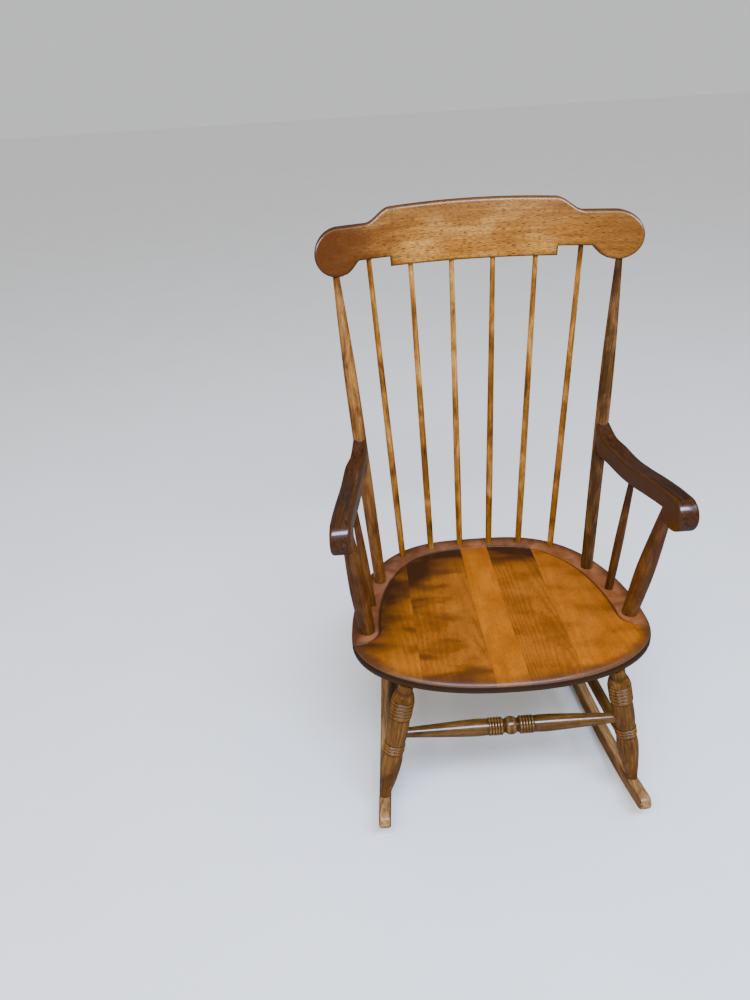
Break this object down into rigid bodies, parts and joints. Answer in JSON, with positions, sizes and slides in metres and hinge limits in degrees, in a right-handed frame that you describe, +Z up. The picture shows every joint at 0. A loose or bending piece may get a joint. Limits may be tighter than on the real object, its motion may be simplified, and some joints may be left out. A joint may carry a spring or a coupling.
{
  "type": "rocking chair",
  "caption": "Spindle-back wooden rocking chair with a carved plank seat, bent crest rail, scrolled arms, turned legs and long curved rockers.",
  "frame": {"origin": "on the floor, midway between the rockers and midway between their front and rear ends", "axes": "+Z up, the chair faces -Y, +X to the right of someone looking at its front"},
  "size_m": [0.5944, 0.758, 1.0345],
  "materials": {
    "seat": "satin lacquer over amber stain",
    "crest": "satin lacquer over amber-brown stain",
    "back": "satin lacquer over brown stain",
    "arms": "satin lacquer over dark brown toner",
    "arm_supports": "satin lacquer over olive-brown stain",
    "legs": "satin lacquer over golden-brown stain",
    "stretchers": "gloss lacquer over brown stain",
    "rockers": "worn satin lacquer over light brown stain",
    "steel": "plain wire and screw steel"
  },
  "bodies": {
    "root": {"seat_board_1": "seat", "seat_board_2": "seat", "seat_board_3": "seat", "seat_board_4": "seat", "seat_board_5": "seat", "crest_rail": "crest", "back_post_left": "back", "back_post_right": "back", "back_spindle_1": "back", "back_spindle_2": "back", "back_spindle_3": "back", "back_spindle_4": "back", "back_spindle_5": "back", "back_spindle_6": "back", "arm_left": "arms", "arm_right": "arms", "arm_post_left": "arm_supports", "arm_post_right": "arm_supports", "arm_spindle_left": "arm_supports", "arm_spindle_right": "arm_supports", "front_leg_left": "legs", "front_leg_right": "legs", "rear_leg_left": "legs", "rear_leg_right": "legs", "front_stretcher": "stretchers", "rear_stretcher": "stretchers", "side_stretcher_left": "stretchers", "side_stretcher_right": "stretchers", "rocker_left": "rockers", "rocker_right": "rockers", "arm_screws": "steel", "arm_plugs": "back", "rocker_pins": "steel", "crest_pins": "steel"}
  },
  "joints": []
}
